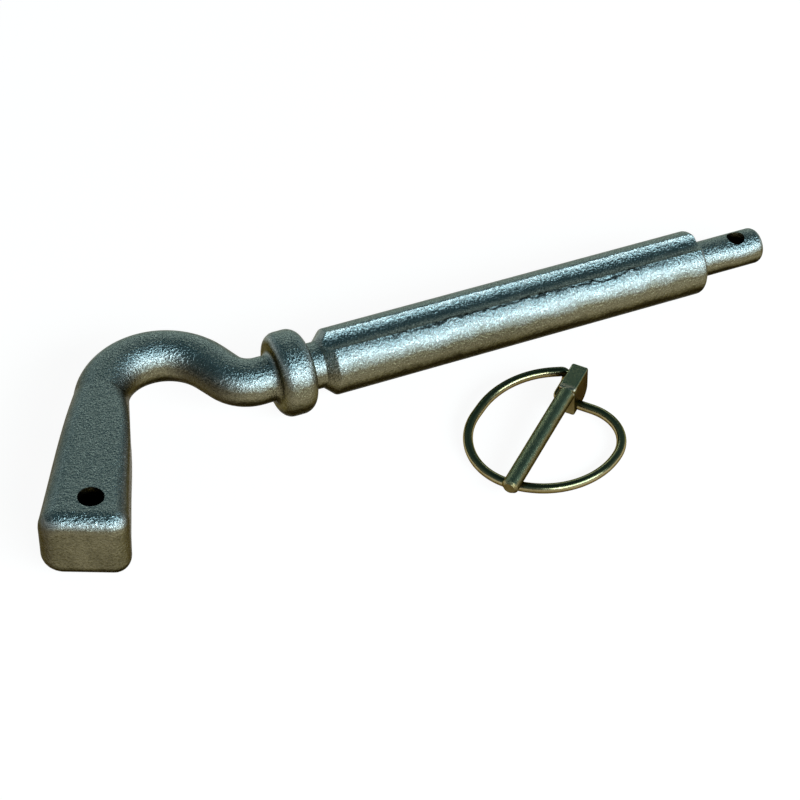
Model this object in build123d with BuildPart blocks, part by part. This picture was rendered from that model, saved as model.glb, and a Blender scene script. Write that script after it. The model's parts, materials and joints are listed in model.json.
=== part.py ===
from build123d import *
from math import acos, asin, atan2, cos, degrees, radians, sin, sqrt
import os

# A drop-forged locking pin lying on its side, with its linch pin taken out
# and lying beside it. Millimetres. +X runs along the shaft from the handle to
# the cross-drilled tail, +Z is up and the floor is Z = 0.

# Shaft, turned about the pin's own axis; lengths count from the collar's middle
BODY_D = 18.6
NECK_D = 13.0
COLLAR_D = 23.6
TAIL_D = 10.4
COLLAR_HALF = 4.9
NECK_END = 8.4
BODY_RAMP = 3.0
BODY_END = 125.5
TAIL_END = 146.8

# Forging radii along the shaft
ROOT_FILLET = 1.9
COLLAR_ROUND = 3.3
COLLAR_BACK_ROUND = 3.9
NECK_FILLET = 0.9
RAMP_FILLET = 0.8
BODY_SHOULDER_ROUND = 1.0
BODY_END_ROUND = 1.8
TAIL_FILLET = 0.6
TAIL_ROUND = 2.4

# Lengthwise groove above and below the body, from the split of the dies
GROOVE_WIDTH = 6.4
GROOVE_DEPTH = 2.0
GROOVE_LIP = 0.35
GROOVE_TURN = 5.5

# Cross hole for the linch pin
TAIL_HOLE_D = 5.2
TAIL_HOLE_FROM_BODY = 13.2

# Swan-neck handle, flat in the forging's parting plane
ROD_D = 12.65
ROD_STRAIGHT = 4.1
SWAN_R = 8.8
SWAN_TURN = 63.2
SWAN_SLOPE = 5.4
ARCH_R = 17.1
ARCH_TURN = 130.2
ARCH_END_D = 14.8
GRIP_LENGTH = 52.6
GRIP_END_BLOCK = 4.8
GRIP_MID_WIDTH = 19.3
GRIP_END_WIDTH = 22.8
GRIP_THICK = 21.0
GRIP_CORNER = 5.9
GRIP_INNER_CORNER = 4.4
GRIP_END_ROUND = 4.2
GRIP_HOLE_D = 6.8
GRIP_HOLE_FROM_END = 9.4
GRIP_HOLE_ASIDE = 1.6

# Linch pin: a round shank with a flat head hanging below it
SHANK_D = 4.6
SHANK_LENGTH = 37.1
SHANK_CHAMFER = 0.7
HEAD_LENGTH = 9.6
HEAD_HEIGHT = 10.1
HEAD_THICK = 4.8
HEAD_ROUND = 0.6
HEAD_HEEL_R = 3.8
HINGE_BACK = 2.7
HINGE_UP = 2.05
HINGE_PLAY = 0.08
LINCH_X = 67.15
LINCH_Y = -33.78
LINCH_TURN = 219.2

# Sprung wire ring, two legs from the hinge to the nose that goes under the shank
WIRE_D = 2.7
RIGHT_STUB = 6.7
RIGHT_HEAD_R = 12.7
RIGHT_NOSE_R = 22.6
LEFT_NOSE_R = 17.1
LEFT_NOSE_TURN = 93.5
LEFT_SIDE = 3.0
LEFT_HEAD_R = 24.3
LEFT_HEAD_TURN = 58.0
LEFT_LEG_RISE = 6.2
LEFT_LEG_CLEAR = 0.2
LEFT_KNEE_SHARE = 0.15
WIRE_BEND_R = 1.6
WIRE_GAP = 0.8
SHANK_GAP = 0.15

neck_r = NECK_D / 2
body_r = BODY_D / 2
collar_r = COLLAR_D / 2
tail_r = TAIL_D / 2
rod_r = ROD_D / 2
wire_r = WIRE_D / 2
shank_r = SHANK_D / 2

# A fillet is limited by the wall it stands on
handle_wall = collar_r - rod_r
body_wall = collar_r - neck_r
root_fillet = min(ROOT_FILLET, 0.36 * handle_wall)
collar_round = min(COLLAR_ROUND, 0.62 * handle_wall, 0.9 * COLLAR_HALF)
collar_back_round = min(COLLAR_BACK_ROUND, 0.76 * body_wall, 0.9 * COLLAR_HALF)
neck_fillet = min(NECK_FILLET, 0.2 * body_wall)
grip_corner = min(GRIP_CORNER, GRIP_INNER_CORNER)
grip_end_round = min(GRIP_END_ROUND, 0.96 * grip_corner, 0.96 * GRIP_END_BLOCK)
flare_length = GRIP_LENGTH - GRIP_END_BLOCK

# Handle centreline, from the collar over the arch to the grip
with BuildLine() as handle_line:
    rod = Line((0, 0), (-COLLAR_HALF - ROD_STRAIGHT, 0))
    swan = JernArc(rod @ 1, rod % 1, SWAN_R, -SWAN_TURN)
    slope = Line(swan @ 1, swan @ 1 + (swan % 1) * SWAN_SLOPE)
    arch = JernArc(slope @ 1, slope % 1, ARCH_R, ARCH_TURN)
grip_start = arch @ 1
grip_dir = arch % 1
grip_end = grip_start + grip_dir * GRIP_LENGTH
grip_inward = grip_dir.rotate(Axis.Z, 90)


def grip_plane(along):
    """Section plane across the grip at a distance from the end of the arch."""
    return Plane(grip_start + grip_dir * along, x_dir=(0, 0, 1), z_dir=grip_dir)


# One forging in its own frame: axis on X, handle in the XY plane
with BuildPart() as forging:
    with BuildSketch(Plane.XZ) as shaft_profile:
        with BuildLine():
            skin = FilletPolyline(
                (-COLLAR_HALF - ROD_STRAIGHT, rod_r),
                (-COLLAR_HALF, rod_r),
                (-COLLAR_HALF, collar_r),
                (COLLAR_HALF, collar_r),
                (COLLAR_HALF, neck_r),
                (NECK_END, neck_r),
                (NECK_END + BODY_RAMP, body_r),
                (BODY_END, body_r),
                (BODY_END, tail_r),
                (TAIL_END, tail_r),
                (TAIL_END, 0),
                radius=[
                    root_fillet,
                    collar_round,
                    collar_back_round,
                    neck_fillet,
                    RAMP_FILLET,
                    BODY_SHOULDER_ROUND,
                    BODY_END_ROUND,
                    TAIL_FILLET,
                    TAIL_ROUND,
                ],
            )
            Polyline(skin @ 1, (-COLLAR_HALF - ROD_STRAIGHT, 0), skin @ 0)
        make_face()
    revolve(axis=Axis.X)

    # Grooves: a round-bottomed cutter above and below the body
    half_width = GROOVE_WIDTH / 2
    chord_height = sqrt(body_r**2 - half_width**2)
    sag = chord_height - (body_r - GROOVE_DEPTH)
    cutter_r = (half_width**2 + sag**2) / (2 * sag)
    cutter_height = body_r - GROOVE_DEPTH + cutter_r
    groove_start = (COLLAR_HALF + NECK_END) / 2
    with BuildSketch(Plane.YZ.offset(groove_start)):
        with PolarLocations(cutter_height, 2, start_angle=90 + GROOVE_TURN):
            Circle(cutter_r)
    extrude(amount=BODY_END + BODY_END_ROUND - groove_start, mode=Mode.SUBTRACT)
    lips = (
        forging.edges()
        .filter_by(GeomType.LINE)
        .filter_by(Axis.X)
        .filter_by(lambda e: e.length > (BODY_END - NECK_END) / 2)
    )
    fillet(lips, radius=GROOVE_LIP)

    # Rod of the handle, thickening towards the grip
    with BuildSketch(Plane(rod @ 0, z_dir=rod % 0)):
        Circle(rod_r)
    with BuildSketch(Plane(grip_start, z_dir=grip_dir)):
        Circle(ARCH_END_D / 2)
    sweep(path=handle_line.wires()[0], multisection=True)

    # Grip, flaring from the round rod to a short straight end block
    with BuildSketch(grip_plane(0)):
        Circle(ARCH_END_D / 2)
    for share in (0.25, 0.5, 1):
        start_part = ARCH_END_D * (1 - share) * (1 - 2 * share)
        mid_part = GRIP_MID_WIDTH * 4 * share * (1 - share)
        end_part = GRIP_END_WIDTH * share * (2 * share - 1)
        width = start_part + mid_part + end_part
        thick = ARCH_END_D + (GRIP_THICK - ARCH_END_D) * share
        with BuildSketch(grip_plane(flare_length * share)) as section:
            Rectangle(thick, width)
            corners = section.vertices().sort_by(Axis.Y)
            fillet(corners[:2], radius=GRIP_INNER_CORNER * (1 + share) / 2)
            corners = section.vertices().sort_by(Axis.Y)
            fillet(corners[-2:], radius=GRIP_CORNER)
    loft()
    extrude(section.sketch, amount=GRIP_END_BLOCK)
    end_face = forging.faces().sort_by(lambda f: (f.center() - grip_end).length)[0]
    fillet(end_face.edges(), radius=grip_end_round)

    # Cross holes, square to the parting plane
    with BuildSketch(Plane.XY):
        with Locations((BODY_END + TAIL_HOLE_FROM_BODY, 0)):
            Circle(TAIL_HOLE_D / 2)
        hole_at = grip_end - grip_dir * GRIP_HOLE_FROM_END
        hole_at += grip_inward * GRIP_HOLE_ASIDE
        with Locations((hole_at.X, hole_at.Y)):
            Circle(GRIP_HOLE_D / 2)
    extrude(amount=COLLAR_D, both=True, mode=Mode.SUBTRACT)

# Rest: the collar, the body's far end and the grip's end touch the floor
groove_half = asin(half_width / body_r)
foot = grip_end - grip_dir * grip_end_round
foot += grip_inward * (GRIP_END_WIDTH / 2 - GRIP_INNER_CORNER)
roll = 0
for step in range(5):
    body_foot = body_r * cos(max(0, groove_half - roll - radians(GROOVE_TURN)))
    tilt = asin((collar_r - body_foot) / (BODY_END - BODY_END_ROUND))
    roll = asin((collar_r - foot.X * sin(tilt) - GRIP_THICK / 2 * cos(roll)) / -foot.Y)
lean = Location((0, 0, 0), (0, degrees(tilt), 0)) * Location((0, 0, 0), (degrees(roll), 0, 0))
forging_low = forging.part.moved(lean).bounding_box().min.Z

# Linch pin in its own frame: X from the shoulder to the tip, Z up
shank_axis = HEAD_HEIGHT - shank_r
with BuildPart() as linch:
    with BuildSketch(Plane.YZ.offset(-HEAD_LENGTH)):
        with Locations((0, HEAD_HEIGHT / 2)):
            Rectangle(HEAD_THICK, HEAD_HEIGHT)
    extrude(amount=HEAD_LENGTH)
    heel = linch.edges().filter_by(Axis.Y).sort_by(Axis.X)[:2].sort_by(Axis.Z)[0]
    fillet(heel, radius=HEAD_HEEL_R)
    fillet(linch.edges(), radius=HEAD_ROUND)
    with BuildSketch(Plane.YZ.offset(-HEAD_LENGTH / 2)):
        with Locations((0, shank_axis)):
            Circle(shank_r)
    extrude(amount=HEAD_LENGTH / 2 + SHANK_LENGTH)
    tip = linch.faces().sort_by(Axis.X)[-1]
    chamfer(tip.edges(), length=SHANK_CHAMFER)
    with BuildSketch(Plane.XZ):
        with Locations((-HINGE_BACK, HINGE_UP)):
            Circle(wire_r + HINGE_PLAY)
    extrude(amount=HEAD_THICK, both=True, mode=Mode.SUBTRACT)

# The head's lower corner is on the floor and the shank rests over the ring
ring_reach = RIGHT_HEAD_R + RIGHT_NOSE_R
cross_at = ring_reach - HINGE_BACK
under_shank = shank_axis - shank_r
wire_top = WIRE_D + SHANK_GAP
nod = acos(wire_top / sqrt(under_shank**2 + cross_at**2)) - atan2(cross_at, under_shank)
head_low = HEAD_ROUND * (sin(nod) + cos(nod) - 1)
hinge_x = -HINGE_BACK * cos(nod) + HINGE_UP * sin(nod)
hinge_z = HINGE_BACK * sin(nod) + HINGE_UP * cos(nod) - head_low

# Right leg: straight out of the hinge, round to the nose on the floor
drop = asin((hinge_z - wire_r) / ring_reach)
right_plane = Plane((hinge_x, 0, hinge_z), x_dir=(0, 1, 0), z_dir=(-sin(drop), 0, -cos(drop)))
with BuildLine(right_plane) as right_leg:
    stub = Line((WIRE_GAP / 2, 0), (RIGHT_STUB, 0))
    right_head = JernArc(stub @ 1, stub % 1, RIGHT_HEAD_R, 90)
    right_nose = JernArc(right_head @ 1, right_head % 1, RIGHT_NOSE_R, 90)
nose = right_nose @ 1

# Left leg: rising round to the head, then down beside it to the hinge
rise = radians(LEFT_LEG_RISE)
left_plane = Plane(nose, x_dir=(0, -1, 0), z_dir=(-sin(rise), 0, -cos(rise)))
leg_y = -HEAD_THICK / 2 - LEFT_LEG_CLEAR - wire_r
with BuildLine(left_plane) as left_leg:
    left_nose = JernArc((0, 0), (1, 0), LEFT_NOSE_R, LEFT_NOSE_TURN)
    side = Line(left_nose @ 1, left_nose @ 1 + (left_nose % 1) * LEFT_SIDE)
    left_head = JernArc(side @ 1, side % 1, LEFT_HEAD_R, LEFT_HEAD_TURN)
    leg_end = left_head @ 1
    leg_dir = left_head % 1
    beside = leg_end + leg_dir * ((leg_y - leg_end.Y) / leg_dir.Y)
    knee_x = beside.X + LEFT_KNEE_SHARE * (hinge_x - beside.X)
    knee_z = hinge_z + LEFT_KNEE_SHARE * (beside.Z - hinge_z)
    knee = Vector(knee_x, leg_y, knee_z)
    elbow = Vector(hinge_x, leg_y, hinge_z)
    inner = Vector(hinge_x, -WIRE_GAP / 2, hinge_z)
    FilletPolyline(leg_end, beside, knee, elbow, inner, radius=WIRE_BEND_R)

with BuildPart() as ring:
    with BuildSketch(Plane(stub @ 0, z_dir=stub % 0)):
        Circle(wire_r)
    sweep(path=right_leg.wires()[0])
    with BuildSketch(Plane(nose, z_dir=left_nose % 0)):
        Circle(wire_r)
    sweep(path=left_leg.wires()[0])

# Shared frame: origin under the middle of everything, on the floor
beside_forging = Location((LINCH_X, LINCH_Y, 0), (0, 0, LINCH_TURN))
forging_rest = Location((0, 0, -forging_low)) * lean
linch_rest = beside_forging * Location((0, 0, -head_low), (0, degrees(nod), 0))
boxes = [
    forging.part.moved(forging_rest).bounding_box(),
    linch.part.moved(linch_rest).bounding_box(),
    ring.part.moved(beside_forging).bounding_box(),
]
mid_x = (min(box.min.X for box in boxes) + max(box.max.X for box in boxes)) / 2
mid_y = (min(box.min.Y for box in boxes) + max(box.max.Y for box in boxes)) / 2
to_frame = Location((-mid_x, -mid_y, 0))

with BuildPart() as pin_forging:
    add(forging.part.moved(to_frame * forging_rest))
with BuildPart() as linch_pin:
    add(linch.part.moved(to_frame * linch_rest))
with BuildPart() as linch_ring:
    add(ring.part.moved(to_frame * beside_forging))

print("frame shift", mid_x, mid_y, "roll", degrees(roll), "tilt", degrees(tilt), "nod", degrees(nod))
hinge = to_frame * beside_forging * Location((hinge_x, 0, hinge_z))
print("hinge", hinge.position)
for piece in (pin_forging, linch_pin, linch_ring):
    box = piece.part.bounding_box()
    print(piece.part.volume, len(piece.part.solids()), box.min, box.max)

os.makedirs("parts", exist_ok=True)
pin_forging.part.label = "pin_forging"
linch_pin.part.label = "linch_pin"
linch_ring.part.label = "linch_ring"
export_step(pin_forging.part, "parts/pin_forging.step")
export_step(linch_pin.part, "parts/linch_pin.step")
export_step(linch_ring.part, "parts/linch_ring.step")
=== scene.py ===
# %% [markdown]
# # A forged locking pin and its linch pin
#
# The object is a drop-forged steel pin, shot-blasted and zinc plated, lying on
# its side, with its spring-ring linch pin taken out beside it. The shapes come
# from the CAD model, so this lesson is about metal: how a rough forged skin, a
# turned pin and a drawn wire can share one plating and still look different.

# %% Load the frame
import bpy
import json
from math import cos, radians, sin
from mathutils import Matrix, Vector

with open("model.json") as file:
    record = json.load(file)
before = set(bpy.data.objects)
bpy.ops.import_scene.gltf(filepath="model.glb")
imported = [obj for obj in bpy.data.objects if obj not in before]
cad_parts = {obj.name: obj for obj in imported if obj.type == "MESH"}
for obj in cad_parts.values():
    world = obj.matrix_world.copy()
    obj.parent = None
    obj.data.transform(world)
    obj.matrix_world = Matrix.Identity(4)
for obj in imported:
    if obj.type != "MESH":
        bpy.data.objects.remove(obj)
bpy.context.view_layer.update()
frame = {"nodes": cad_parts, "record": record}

# %% [markdown]
# ## Colours and sizes
#
# Colours are picked in sRGB, as on any screen, but a renderer adds light
# in linear values. One function turns the first into the second, so that every
# colour below can stay a hex value. A texture's scale counts repeats per metre,
# which is hard to picture, so a second function works it out from a size in mm.

# %% Colour and size helpers
MM_PER_METRE = 1000


def linear(hex_colour):
    """An sRGB hex colour as a linear RGBA tuple."""
    rgb = [int(hex_colour[i:i + 2], 16) / 255 for i in (1, 3, 5)]
    curve = [c / 12.92 if c <= 0.04045 else ((c + 0.055) / 1.055) ** 2.4 for c in rgb]
    return (*curve, 1.0)


def per_mm(size_mm):
    """Texture scale, in repeats per metre, for a pattern of that size in mm."""
    return MM_PER_METRE / size_mm


print("mid grey #808080 is", round(linear("#808080")[0], 3), "in linear light")

# %% [markdown]
# ## Nodes
#
# A node material is a small recipe. It could be drawn in the shader editor, but
# written out it can be read and compared. One function adds a node with its
# settings and its links, so a recipe reads from top to bottom, in the order in
# which the surface was made. The forging's material comes first, still empty.

# %% A function that adds one node


def node(tree, kind, inputs=None, stops=(), **settings):
    """Adds a node; inputs are values, or sockets of earlier nodes to link.

    Stops are the (position, hex colour) pairs of a colour ramp, from low to high.
    """
    made = tree.nodes.new(kind)
    for number, (position, shade) in enumerate(stops):
        points = made.color_ramp.elements
        point = points[number] if number < len(points) else points.new(position)
        point.position = position
        point.color = linear(shade)
    for name, value in settings.items():
        setattr(made, name, value)
    for name, value in (inputs or {}).items():
        if isinstance(value, bpy.types.NodeSocket):
            tree.links.new(value, made.inputs[name])
        else:
            made.inputs[name].default_value = value
    return made


def new_material(name):
    """An empty node material and its tree."""
    material = bpy.data.materials.new(name)
    material.use_nodes = True
    material.node_tree.nodes.clear()
    return material, material.node_tree


forging_finish, skin = new_material("zinc_plate_on_shot_blasted_forging")
print(forging_finish.name, "has", len(skin.nodes), "nodes so far")

# %% [markdown]
# ## The forging's skin
#
# A drop forging comes out of the dies with scale on it. Shot blasting knocks the
# scale off and leaves the steel covered in small round dents, and zinc plating
# lays a thin bright coat over them. To the eye it is a metal that is quite
# glossy in each dent but rough as a whole, so it sparkles.
#
# Four patterns make it, each from a real size. Dents are 0.2 to 0.6 mm wide,
# which is one or two pixels here, so the grit is drawn at 0.6 mm and the round
# dents at 0.9 mm, coarse enough to show. Waves of 3.2 mm are the unevenness of
# the dies, and patches of 9 mm are where the coat took a little differently.

# %% Grit, dents, waves and patches
GRIT_MM = 0.6
DENT_MM = 0.9
WAVE_MM = 3.2
PATCH_MM = 9.0
place = node(skin, "ShaderNodeTexCoord").outputs["Object"]
grit = node(skin, "ShaderNodeTexNoise", {
    "Vector": place, "Scale": per_mm(GRIT_MM), "Detail": 3.0, "Roughness": 0.6})
dents = node(skin, "ShaderNodeTexVoronoi", {
    "Vector": place, "Scale": per_mm(DENT_MM), "Randomness": 1.0}, feature="SMOOTH_F1")
waves = node(skin, "ShaderNodeTexNoise", {
    "Vector": place, "Scale": per_mm(WAVE_MM), "Detail": 2.0, "Roughness": 0.55})
patches = node(skin, "ShaderNodeTexNoise", {
    "Vector": place, "Scale": per_mm(PATCH_MM), "Detail": 5.0, "Roughness": 0.65})
print("skin patterns of", GRIT_MM, DENT_MM, WAVE_MM, PATCH_MM, "mm")

# %% [markdown]
# ### Painted light and shade by the way a face looks
#
# A plated bar shows bands: its top mirrors the room, and its flanks mirror the
# ground. Lamps give part of that. The rest is painted light and shade, set by
# the normal, the direction in which a face looks. In object space it belongs to
# the metal and not to the camera, so the bands stay put from every side. Two
# noises push the shade up and down a little, because no such band has a straight
# edge. A noise's values lie mostly between 0.3 and 0.7.
#
# The coat's colour runs from nearly black underneath, a painted shadow, through
# olive brown at the flanks, where the ground is mirrored, to a pale band on the
# upper front, a painted highlight, and to blue grey on top.

# %% The coat's colour with painted light and shade, from below to the top
NOISE_LOW = 0.3
NOISE_HIGH = 0.7
# Painted light and shade: nearly black below, a pale painted highlight band on the upper
# front.
COAT_WITH_PAINTED_LIGHT = (
    (0.15, "#1D1B12"), (0.36, "#353222"), (0.50, "#787259"), (0.62, "#6E6953"),
    (0.71, "#8F968F"), (0.80, "#BDCBCC"), (0.90, "#8EA4A8"), (1.0, "#8CA3A6"))


def height_share(tree, soft_noise, fine_noise, soft, fine):
    """How far up a face looks, 0 for down and 1 for up, made uneven by two noises."""
    facing = node(tree, "ShaderNodeTexCoord").outputs["Normal"]
    up = node(tree, "ShaderNodeSeparateXYZ", {"Vector": facing}).outputs["Z"]
    level = node(tree, "ShaderNodeMapRange", {"Value": up, "From Min": -1.0, "From Max": 1.0})
    share = level.outputs["Result"]
    for noise, reach in ((soft_noise, soft), (fine_noise, fine)):
        drift = node(tree, "ShaderNodeMapRange", {
            "Value": noise, "From Min": NOISE_LOW, "From Max": NOISE_HIGH,
            "To Min": -reach, "To Max": reach}, clamp=False)
        pushed = node(tree, "ShaderNodeMath", {
            0: share, 1: drift.outputs["Result"]}, operation="ADD")
        share = pushed.outputs[0]
    return share


# The coat's colour here carries painted light and shade by how far up a face looks.
share = height_share(
    skin, patches.outputs["Fac"], grit.outputs["Fac"], soft=0.045, fine=0.02)
coat_with_painted_light = node(skin, "ShaderNodeValToRGB", {"Fac": share}, stops=COAT_WITH_PAINTED_LIGHT)
print("the coat has", len(COAT_WITH_PAINTED_LIGHT), "colours from below to the top")

# %% [markdown]
# ### Painted shade on the handle's sides
#
# The handle's sides are darker than the shaft's, as painted shade. So a brown
# grey goes over them, strongest at the grip and nearly gone at the collar.
# This could be painted on a texture, but the CAD model already knows where its
# shaft and its holes are. Measured in millimetres from the shaft's own axis, the
# marks move with the shapes when a size is changed.

# %% Painted shade on the sides, by the distance along the shaft
GRIP_FROM_BODY_MM = -88.0
COLLAR_FROM_BODY_MM = -70.0
GRIP_SIDE_SHADE = 0.75
COLLAR_SIDE_SHADE = 0.1


def along(tree, place, start, way):
    """Distance in mm from a start point along a direction."""
    offset = node(tree, "ShaderNodeVectorMath", {0: place, 1: start}, operation="SUBTRACT")
    step = node(tree, "ShaderNodeVectorMath", {
        0: offset.outputs[0], 1: way * MM_PER_METRE}, operation="DOT_PRODUCT")
    return step.outputs["Value"]


def shade_sides(tree, colour, way, start, full, amount, shade):
    """Paints shade on the faces that look along a direction or against it."""
    facing = node(tree, "ShaderNodeTexCoord").outputs["Normal"]
    part = node(tree, "ShaderNodeVectorMath", {0: facing, 1: way}, operation="DOT_PRODUCT")
    either_way = node(tree, "ShaderNodeMath", {
        0: part.outputs["Value"]}, operation="ABSOLUTE")
    share = node(tree, "ShaderNodeMapRange", {
        "Value": either_way.outputs[0], "From Min": start, "From Max": full,
        "To Min": 0.0, "To Max": amount})
    side_shaded = node(tree, "ShaderNodeMix", {
        "Factor": share.outputs["Result"], "A": colour, "B": linear(shade)},
        data_type="RGBA")
    return side_shaded.outputs[2]


mounts = frame["record"]["mounts"]
body = next(mount for mount in mounts if mount["kind"] == "pin")
body_way = Vector(body["axis"])
side_shaded = node(skin, "ShaderNodeMapRange", {
    "Value": along(skin, place, body["pos_m"], body_way),
    "From Min": GRIP_FROM_BODY_MM, "From Max": COLLAR_FROM_BODY_MM,
    "To Min": GRIP_SIDE_SHADE, "To Max": COLLAR_SIDE_SHADE})
# Painted shade: a brown grey over the handle's sides.
plate_with_painted_light = shade_sides(
    skin, coat_with_painted_light.outputs["Color"], Vector((1, 0, 0)), start=0.30, full=0.75,
    amount=side_shaded.outputs["Result"], shade="#4A453A")
print("the handle is dulled from", COLLAR_FROM_BODY_MM, "mm off", body["name"])

# %% [markdown]
# ### Painted shade in the pits, painted highlight on the rims
#
# The bottom of each dent is painted darker than its rim, as painted shade, and the
# rim lighter, as a painted highlight. A bump alone shows that only where a lamp
# rakes over it, so the grit also scales the colour. It multiplies and adds
# nothing, which keeps dark metal dark.

# %% Painted shade in the pits and painted highlight on the rims
PIT_PAINTED_SHADE = 0.78
RIM_PAINTED_HIGHLIGHT = 1.12
RIM_NOISE = 0.66
# Painted shade in the pits and a painted highlight on the rims, from the grit.
pit_shade_rim_highlight = node(skin, "ShaderNodeMapRange", {
    "Value": grit.outputs["Fac"], "From Min": NOISE_LOW, "From Max": RIM_NOISE,
    "To Min": PIT_PAINTED_SHADE, "To Max": RIM_PAINTED_HIGHLIGHT})
pits_and_rims_painted = node(skin, "ShaderNodeVectorMath", {
    0: plate_with_painted_light, "Scale": pit_shade_rim_highlight.outputs["Result"]}, operation="SCALE")
plate_with_painted_light = pits_and_rims_painted.outputs["Vector"]
print("pits at", PIT_PAINTED_SHADE, "and rims at", RIM_PAINTED_HIGHLIGHT, "of the coat's colour")

# %% [markdown]
# ### Painted shade beside the groove
#
# Along the groove's front crest a ragged dark line is painted, as painted shade
# in the crease. It is too fine for the solid, and a cut would have clean edges.
# Seen along the shaft, the crest lies 34 degrees round from the top towards the
# front, so the line is drawn at that angle about the body's axis. The patches'
# noise makes it wander, and it fades out before the body's ends.

# %% A ragged line of painted shade about the body's axis
CREASE_SHADE_ANGLE = radians(34.0)
CREASE_SHADE_WANDER = 0.14
CREASE_SHADE_CORE = 0.015
CREASE_SHADE_EDGE = 0.055
CREASE_SHADE_STRENGTH = 0.95
CREASE_SHADE_FULL_MM = 35.0
CREASE_SHADE_END_MM = 50.0


def crease_shade_line(tree, place, start, way, wander):
    """1 on a wandering line along a round body, 0 beside it; angles in radians."""
    across = along(tree, place, start, Vector((0, -1, 0)))
    above = along(tree, place, start, way.cross(Vector((0, 1, 0))))
    angle = node(tree, "ShaderNodeMath", {0: across, 1: above}, operation="ARCTAN2")
    crest = node(tree, "ShaderNodeMapRange", {
        "Value": wander, "From Min": NOISE_LOW, "From Max": NOISE_HIGH,
        "To Min": CREASE_SHADE_ANGLE - CREASE_SHADE_WANDER, "To Max": CREASE_SHADE_ANGLE + CREASE_SHADE_WANDER})
    beside = node(tree, "ShaderNodeMath", {
        0: angle.outputs[0], 1: crest.outputs["Result"]}, operation="SUBTRACT")
    off = node(tree, "ShaderNodeMath", {0: beside.outputs[0]}, operation="ABSOLUTE")
    line = node(tree, "ShaderNodeMapRange", {
        "Value": off.outputs[0], "From Min": CREASE_SHADE_CORE, "From Max": CREASE_SHADE_EDGE,
        "To Min": CREASE_SHADE_STRENGTH, "To Max": 0.0})
    run = node(tree, "ShaderNodeMath", {
        0: along(tree, place, start, way)}, operation="ABSOLUTE")
    kept = node(tree, "ShaderNodeMapRange", {
        "Value": run.outputs[0], "From Min": CREASE_SHADE_FULL_MM, "From Max": CREASE_SHADE_END_MM,
        "To Min": 1.0, "To Max": 0.0})
    both = node(tree, "ShaderNodeMath", {
        0: line.outputs["Result"], 1: kept.outputs["Result"]}, operation="MULTIPLY")
    return both.outputs[0]


crease_shade = crease_shade_line(skin, place, body["pos_m"], body_way, patches.outputs["Fac"])
# Painted shade: a dark green black along the crease.
crease_shaded = node(skin, "ShaderNodeMix", {
    "Factor": crease_shade, "A": plate_with_painted_light, "B": linear("#1C2423")}, data_type="RGBA")
plate_with_painted_light = crease_shaded.outputs[2]
print("the fold runs", 2 * CREASE_SHADE_END_MM, "mm along the body")

# %% [markdown]
# ### Dark holes
#
# A drilled hole's wall is painted dark, as painted shade. The wall is found by
# its distance from the hole's axis, just over the radius. The painted shade fades
# out near the mouth.

# %% Painted shade down the holes
WALL_MM = 0.1
WALL_FADE_MM = 0.5
DEEP_MM = 2.4
SHADE_FADED_MM = 0.8
MOUTH_SHADE = 0.1


def near_line(tree, place, start, way, inner, outer):
    """1 within inner mm of a line, 0 beyond outer mm."""
    offset = node(tree, "ShaderNodeVectorMath", {0: place, 1: start}, operation="SUBTRACT")
    arm = node(tree, "ShaderNodeVectorMath", {
        0: offset.outputs[0], 1: way * MM_PER_METRE}, operation="CROSS_PRODUCT")
    reach = node(tree, "ShaderNodeVectorMath", {0: arm.outputs[0]}, operation="LENGTH")
    share = node(tree, "ShaderNodeMapRange", {
        "Value": reach.outputs["Value"], "From Min": inner, "From Max": outer,
        "To Min": 1.0, "To Max": 0.0})
    return share.outputs["Result"]


holes = [mount for mount in mounts if mount["kind"] == "bore"]
for hole in holes:
    hole_way = Vector(hole["axis"])
    radius = hole["dims"]["r_mm"]
    mouth = hole["dims"]["length_mm"] / 2
    wall = near_line(
        skin, place, hole["pos_m"], hole_way, radius + WALL_MM, radius + WALL_FADE_MM)
    deep = node(skin, "ShaderNodeMapRange", {
        "Value": along(skin, place, hole["pos_m"], hole_way),
        "From Min": mouth - DEEP_MM, "From Max": mouth - SHADE_FADED_MM,
        "To Min": 1.0, "To Max": MOUTH_SHADE})
    hole_shade = node(skin, "ShaderNodeMath", {
        0: wall, 1: deep.outputs["Result"]}, operation="MULTIPLY")
    # Painted shade: a near black over the hole's wall.
    hole_shaded = node(skin, "ShaderNodeMix", {
        "Factor": hole_shade.outputs[0], "A": plate_with_painted_light, "B": linear("#140F0B")}, data_type="RGBA")
    plate_with_painted_light = hole_shaded.outputs[2]
    print("grime down", hole["name"], "of", 2 * radius, "mm")

# %% [markdown]
# ### Relief and gloss
#
# The dents could be modelled, but millions of faces would show no more than a
# bump does at this size. Three bumps are stacked from the widest to the finest,
# each on the normal of the one before, with depths in mm.
#
# Bright zinc plate is typically 0.2 rough, and a blasted one 0.4. The rims are
# polished by wear and the pits are matt, so the roughness follows the grit. It
# runs from 0.20 to 0.35, because the bumps spread the light as well. A smooth
# metal turns pale where it is seen at a glancing angle. Dented metal hardly
# does, so a brown tint, which works on those angles alone, holds them back.

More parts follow.
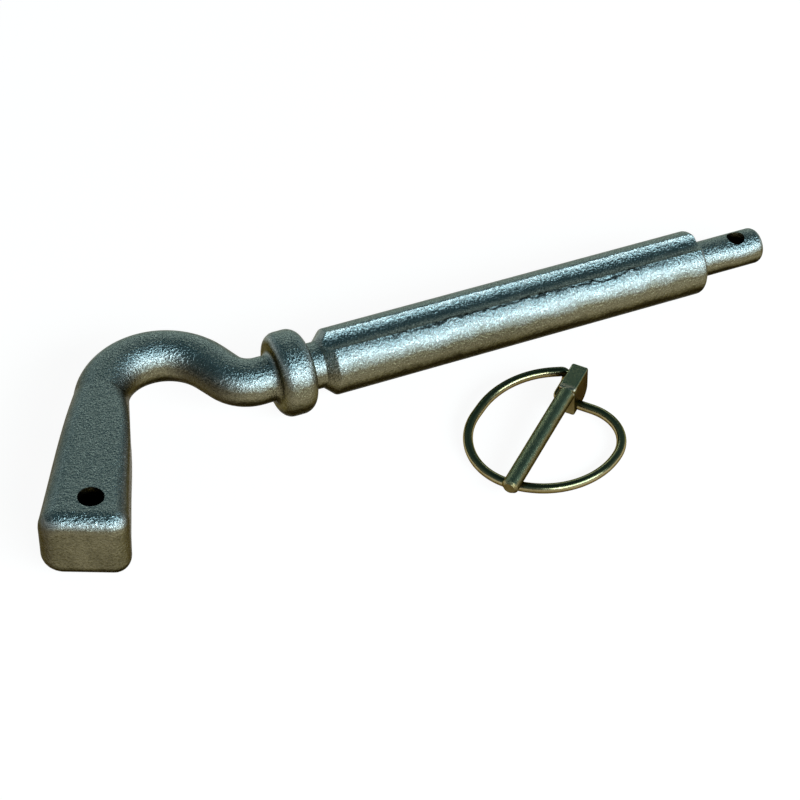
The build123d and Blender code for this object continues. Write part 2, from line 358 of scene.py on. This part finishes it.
# %% Three bumps and the metal
WAVE_DEEP_MM = 0.5
DENT_DEEP_MM = 0.25
GRIT_DEEP_MM = 0.5
PIT_ROUGHNESS = 0.35
RIM_ROUGHNESS = 0.20
wavy = node(skin, "ShaderNodeBump", {
    "Height": waves.outputs["Fac"], "Strength": 0.3,
    "Distance": WAVE_DEEP_MM / MM_PER_METRE})
dented = node(skin, "ShaderNodeBump", {
    "Height": dents.outputs["Distance"], "Strength": 0.4,
    "Distance": DENT_DEEP_MM / MM_PER_METRE, "Normal": wavy.outputs["Normal"]})
gritty = node(skin, "ShaderNodeBump", {
    "Height": grit.outputs["Fac"], "Strength": 0.75,
    "Distance": GRIT_DEEP_MM / MM_PER_METRE, "Normal": dented.outputs["Normal"]})
gloss = node(skin, "ShaderNodeMapRange", {
    "Value": grit.outputs["Fac"], "From Min": NOISE_LOW, "From Max": NOISE_HIGH,
    "To Min": PIT_ROUGHNESS, "To Max": RIM_ROUGHNESS})
zinc = node(skin, "ShaderNodeBsdfPrincipled", {
    "Base Color": plate_with_painted_light, "Metallic": 1.0, "Specular Tint": linear("#A09B88"),
    "Roughness": gloss.outputs["Result"], "Normal": gritty.outputs["Normal"]})
node(skin, "ShaderNodeOutputMaterial", {"Surface": zinc.outputs["BSDF"]})
print(forging_finish.name, "has", len(skin.nodes), "nodes")

# %% [markdown]
# ## The linch pin and its ring
#
# The linch pin is turned and pressed steel, and the ring is drawn spring wire.
# Both are zinc plated and then dipped in a yellow passivate, which leaves an
# oily gold film that drifts between olive and brown with its thickness.
#
# The pin's shoulder, below the head, knocks on the hole each time the pin goes
# in. There the film is rubbed off in a ragged band, and the pale zinc is put on
# the faces that look up only, so the band is partly wear and partly a painted
# highlight.
# A noise added to the distance from the band's middle gives the ragged edge. The
# hinge between pin and ring is the one place on the linch pin that the CAD model
# names, so the shoulder is measured from it, down the shank, which lies flat and
# square to the hinge.

# %% A rubbed band at the shoulder, partly a painted highlight
RUB_MM = 1.1
RUB_RAGGED_MM = 1.6 * RUB_MM
RUB_FADE_MM = 1.7 * RUB_MM
RUB_LOOKS_UP = 0.55
RUB_LOOKS_UP_FULL = 0.70
WEAR_AND_HIGHLIGHT_MOST = 0.85
SHOULDER_FROM_HINGE_MM = 2.7


def wear_and_painted_highlight(tree, colour, share, marks, step):
    """Pale zinc as wear and painted highlight on upward faces, in a ragged band near step 0.
    """
    off = node(tree, "ShaderNodeMath", {0: step}, operation="ABSOLUTE")
    ragged = node(tree, "ShaderNodeMath", {
        0: marks, 1: RUB_RAGGED_MM, 2: off.outputs[0]}, operation="MULTIPLY_ADD")
    band = node(tree, "ShaderNodeMapRange", {
        "Value": ragged.outputs[0], "From Min": RUB_MM, "From Max": RUB_FADE_MM,
        "To Min": 1.0, "To Max": 0.0})
    upward = node(tree, "ShaderNodeMapRange", {
        "Value": share, "From Min": RUB_LOOKS_UP, "From Max": RUB_LOOKS_UP_FULL,
        "To Min": 0.0, "To Max": WEAR_AND_HIGHLIGHT_MOST})
    bare = node(tree, "ShaderNodeMath", {
        0: band.outputs["Result"], 1: upward.outputs["Result"]}, operation="MULTIPLY")
    # Pale zinc: partly wear, partly a painted highlight on the upward faces.
    bared_and_highlighted = node(tree, "ShaderNodeMix", {
        "Factor": bare.outputs[0], "A": colour, "B": linear("#D2D0BC")}, data_type="RGBA")
    return bared_and_highlighted.outputs[2]


hinge = frame["record"]["behaviour"]["joints"][0]
hinge_way = Vector(hinge["axis"])
shank_way = Vector((0, 0, 1)).cross(hinge_way)
rubbed_at = Vector(hinge["pos_m"]) + shank_way * (SHOULDER_FROM_HINGE_MM / MM_PER_METRE)
print("the band lies at", [round(c, 4) for c in rubbed_at])

# %% [markdown]
# One function makes the finish of both, because the bath was the same. Each has
# its own film colours with painted light and shade, size of scratches, roughness
# and relief. A passivated coat is typically about 0.3 rough. The shank is
# semi-matt, at 0.34, and the wire is as smooth as when it was drawn, at 0.22.

# %% Yellow-passivated zinc
FILM_PATCH_MM = 3.5
SCRATCH_DEEP_MM = 0.2
SMOOTHEST = 0.75
ROUGHEST = 1.3


def passivated_zinc(name, film_with_painted_light, scratch_mm, rough, relief, side_way=None, shoulder=None):
    """Gold-passivated zinc; film_with_painted_light gives its colours from below to the top.

    Faces that look along side_way get painted shade. Shoulder is a point and the
    way along the shank, where the gold is rubbed off.
    """
    material, tree = new_material(name)
    place = node(tree, "ShaderNodeTexCoord").outputs["Object"]
    patches = node(tree, "ShaderNodeTexNoise", {
        "Vector": place, "Scale": per_mm(FILM_PATCH_MM), "Detail": 3.0, "Roughness": 0.6})
    scratches = node(tree, "ShaderNodeTexNoise", {
        "Vector": place, "Scale": per_mm(scratch_mm), "Detail": 4.0, "Roughness": 0.7})
    marks = scratches.outputs["Fac"]
    share = height_share(tree, patches.outputs["Fac"], marks, soft=0.07, fine=0.04)
    # Colours by how far up a face looks, with painted light and shade.
    colour = node(tree, "ShaderNodeValToRGB", {"Fac": share}, stops=film_with_painted_light).outputs["Color"]
    # Painted shade on the sides that look along side_way.
    if side_way:
        colour = shade_sides(
            tree, colour, side_way, start=0.60, full=0.95, amount=0.7, shade="#2C2E1E")
    if shoulder:
        colour = wear_and_painted_highlight(tree, colour, share, marks, along(tree, place, *shoulder))
    gloss = node(tree, "ShaderNodeMapRange", {
        "Value": marks, "From Min": NOISE_LOW, "From Max": NOISE_HIGH,
        "To Min": rough * SMOOTHEST, "To Max": rough * ROUGHEST})
    scratched = node(tree, "ShaderNodeBump", {
        "Height": marks, "Strength": relief, "Distance": SCRATCH_DEEP_MM / MM_PER_METRE})
    metal = node(tree, "ShaderNodeBsdfPrincipled", {
        "Base Color": colour, "Metallic": 1.0, "Specular Tint": linear("#A0977A"),
        "Roughness": gloss.outputs["Result"], "Normal": scratched.outputs["Normal"]})
    node(tree, "ShaderNodeOutputMaterial", {"Surface": metal.outputs["BSDF"]})
    print(name, "has", len(tree.nodes), "nodes")
    return material


# %% [markdown]
# The linch pin's shank has fine scratches all over. Real ones are thinner than
# a pixel, so they are drawn at 0.6 mm, as coarse as they need to show. The two
# sides that look along the hinge are darkened with painted shade.

# %% Steel for the linch pin
# The shank's film colours with painted light and shade: dark below, pale on the upper flank.
SHANK_FILM_WITH_PAINTED_LIGHT = (
    (0.10, "#241D10"), (0.45, "#5E5233"), (0.62, "#82764F"), (0.76, "#A79D74"),
    (0.88, "#8C9A7E"), (1.0, "#7B8F78"))
linch_finish = passivated_zinc(
    "yellow_passivated_linch_steel", SHANK_FILM_WITH_PAINTED_LIGHT, scratch_mm=0.6, rough=0.34, relief=0.5,
    side_way=hinge_way, shoulder=(rubbed_at, shank_way))
print(linch_finish.name, "has", len(SHANK_FILM_WITH_PAINTED_LIGHT), "colours from below to the top")

# %% [markdown]
# The ring's film is a little browner than the pin's, and its drawn surface has
# wider and flatter marks, so it shines more.

# %% Wire for the ring
# The wire's film colours with painted light and shade: dark below, pale on the upper flank.
WIRE_FILM_WITH_PAINTED_LIGHT = (
    (0.10, "#241C0E"), (0.40, "#5C4E2C"), (0.58, "#7F7149"), (0.74, "#A59A76"),
    (0.88, "#7C8262"), (1.0, "#6F7A60"))
ring_finish = passivated_zinc(
    "yellow_passivated_spring_wire", WIRE_FILM_WITH_PAINTED_LIGHT, scratch_mm=1.2, rough=0.22, relief=0.15)
print(ring_finish.name, "has", len(WIRE_FILM_WITH_PAINTED_LIGHT), "colours from below to the top")

# %% [markdown]
# ## Dress the pieces
#
# The three pieces stay the CAD model's own meshes, which have one finish each
# from end to end. So each piece gets its finish in every material slot it has.

# %% Dress the three pieces
finishes = {
    "pin_forging": forging_finish,
    "linch_pin": linch_finish,
    "linch_ring": ring_finish,
}
for name, finish in finishes.items():
    piece = frame["nodes"][name]
    for entry in piece.material_slots:
        entry.material = finish
    if not piece.material_slots:
        piece.data.materials.append(finish)
    print(name, "wears", finish.name)

# %% [markdown]
# ## Floor
#
# The pin lies on a plain white table. A single square is enough for it. It is
# far wider than any table, so that its edge is out of sight in low views too.

# %% White floor
FLOOR_SIZE = 24.0
half = FLOOR_SIZE / 2
table_mesh = bpy.data.meshes.new("table_top")
table_mesh.from_pydata(
    [(-half, -half, 0), (half, -half, 0), (half, half, 0), (-half, half, 0)],
    [], [(0, 1, 2, 3)])
table_top = bpy.data.objects.new("table_top", table_mesh)
bpy.context.collection.objects.link(table_top)
print("floor", FLOOR_SIZE, "m wide")

# %% [markdown]
# The paint has to come out white. A lamp strong enough for that would also burn
# out the metal, so the paint glows, but only for rays from the camera, from
# mirrors and through glass. All other rays meet plain paint, which keeps the
# shadow under the metal. The glow's share times its strength is 0.93, and the
# lit paint adds the rest up to white.

# %% White paint that glows for the camera
GLOW_SHARE = 0.80
GLOW_STRENGTH = 1.16
white, tree = new_material("white_table_paint")
rays = node(tree, "ShaderNodeLightPath")
seen = node(tree, "ShaderNodeMath", {
    0: rays.outputs["Is Camera Ray"], 1: rays.outputs["Is Glossy Ray"]},
    operation="MAXIMUM")
seen_or_through = node(tree, "ShaderNodeMath", {
    0: seen.outputs[0], 1: rays.outputs["Is Transmission Ray"]}, operation="MAXIMUM")
glow_share = node(tree, "ShaderNodeMath", {
    0: seen_or_through.outputs[0], 1: GLOW_SHARE}, operation="MULTIPLY")
paint = node(tree, "ShaderNodeBsdfDiffuse", {"Color": linear("#F4F4F2")})
glow = node(tree, "ShaderNodeEmission", {
    "Color": linear("#FFFFFF"), "Strength": GLOW_STRENGTH})
mixed = node(tree, "ShaderNodeMixShader", {
    0: glow_share.outputs[0], 1: paint.outputs["BSDF"], 2: glow.outputs["Emission"]})
node(tree, "ShaderNodeOutputMaterial", {"Surface": mixed.outputs["Shader"]})
table_mesh.materials.append(white)
print(white.name, "glows at", round(GLOW_SHARE * GLOW_STRENGTH, 2))

# %% [markdown]
# ## Room
#
# Metal shows what stands round it, so the room matters as much as the metal. A
# picture of a real room could be wrapped round the scene, but a few tones from
# the floor to overhead do the same here and stay easy to change. Up to about 6
# degrees above the floor the room is white, like the floor, so that there is no
# horizon. Above that it is grey, and darkest overhead, which keeps the tops of
# the round bars dark.

# %% A room from white to dark
ROOM_FROM_FLOOR = (
    (0.0, "#FFFFFF"), (0.10, "#F4F4F2"), (0.17, "#5C5F57"), (0.45, "#5E7073"),
    (0.75, "#465A5F"), (1.0, "#24312F"))
world = bpy.data.worlds.new("studio")
bpy.context.scene.world = world
world.use_nodes = True
tree = world.node_tree
tree.nodes.clear()
outward = node(tree, "ShaderNodeTexCoord").outputs["Generated"]
height = node(tree, "ShaderNodeSeparateXYZ", {"Vector": outward})
tones = node(tree, "ShaderNodeValToRGB", {"Fac": height.outputs["Z"]}, stops=ROOM_FROM_FLOOR)
room = node(tree, "ShaderNodeBackground", {"Color": tones.outputs["Color"], "Strength": 1.0})
node(tree, "ShaderNodeOutputWorld", {"Surface": room.outputs["Background"]})
print("room in", len(ROOM_FROM_FLOOR), "tones from the floor to overhead")

# %% [markdown]
# ## Lamps
#
# One wide soft lamp stands in front and gives each round bar its bright band. A
# weak warm strip behind picks out the groove's far lip. Both look at the middle
# of the table. Small bright lamps would give hard white lines instead of bands.

# %% Two soft lamps
LAMPS = (
    ("front_softbox", (0.28, -0.85, 0.52), (0.95, 0.36), 10.5, "#E6F6FC"),
    ("rear_strip", (0.35, 0.90, 0.45), (0.90, 0.20), 1.2, "#FFF3E0"),
)
for name, stand, (width, depth), watts, colour in LAMPS:
    light = bpy.data.lights.new(name, "AREA")
    light.shape = "RECTANGLE"
    light.size = width
    light.size_y = depth
    light.energy = watts
    light.color = linear(colour)[:3]
    lamp = bpy.data.objects.new(name, light)
    lamp.location = stand
    lamp.rotation_euler = (-Vector(stand)).to_track_quat("-Z", "Y").to_euler()
    bpy.context.collection.objects.link(lamp)
    print(name, watts, "W,", width, "by", depth, "m")

# %% [markdown]
# ## Camera
#
# The picture was taken from a little over half a metre, 43 degrees above the
# table and turned 24 degrees round from square to the shaft. The lens follows
# from the scale: 3.64 pixels to the millimetre at the point it aims at, in a
# picture 800 pixels wide.

# %% Camera
ELEVATION = radians(42.8)
TURN = radians(24.0)
DISTANCE = 0.575
AIM = Vector((-0.00531, 0.00735, 0.0))
PIXELS_PER_METRE = 3639
IMAGE_WIDTH = 800
SENSOR_MM = 36.0
away = Vector((sin(TURN) * cos(ELEVATION), cos(TURN) * cos(ELEVATION), -sin(ELEVATION)))
lens_data = bpy.data.cameras.new("camera")
lens_data.sensor_width = SENSOR_MM
lens_data.lens = SENSOR_MM * PIXELS_PER_METRE * DISTANCE / IMAGE_WIDTH
lens_data.clip_start = 0.01
camera = bpy.data.objects.new("camera", lens_data)
camera.location = AIM - away * DISTANCE
camera.rotation_euler = away.to_track_quat("-Z", "Y").to_euler()
bpy.context.collection.objects.link(camera)
bpy.context.scene.camera = camera
print("lens", round(lens_data.lens, 1), "mm")

# %% [markdown]
# ## View transform
#
# The Standard view shows a colour as it is written.

# %% View transform
bpy.context.scene.view_settings.view_transform = "Standard"
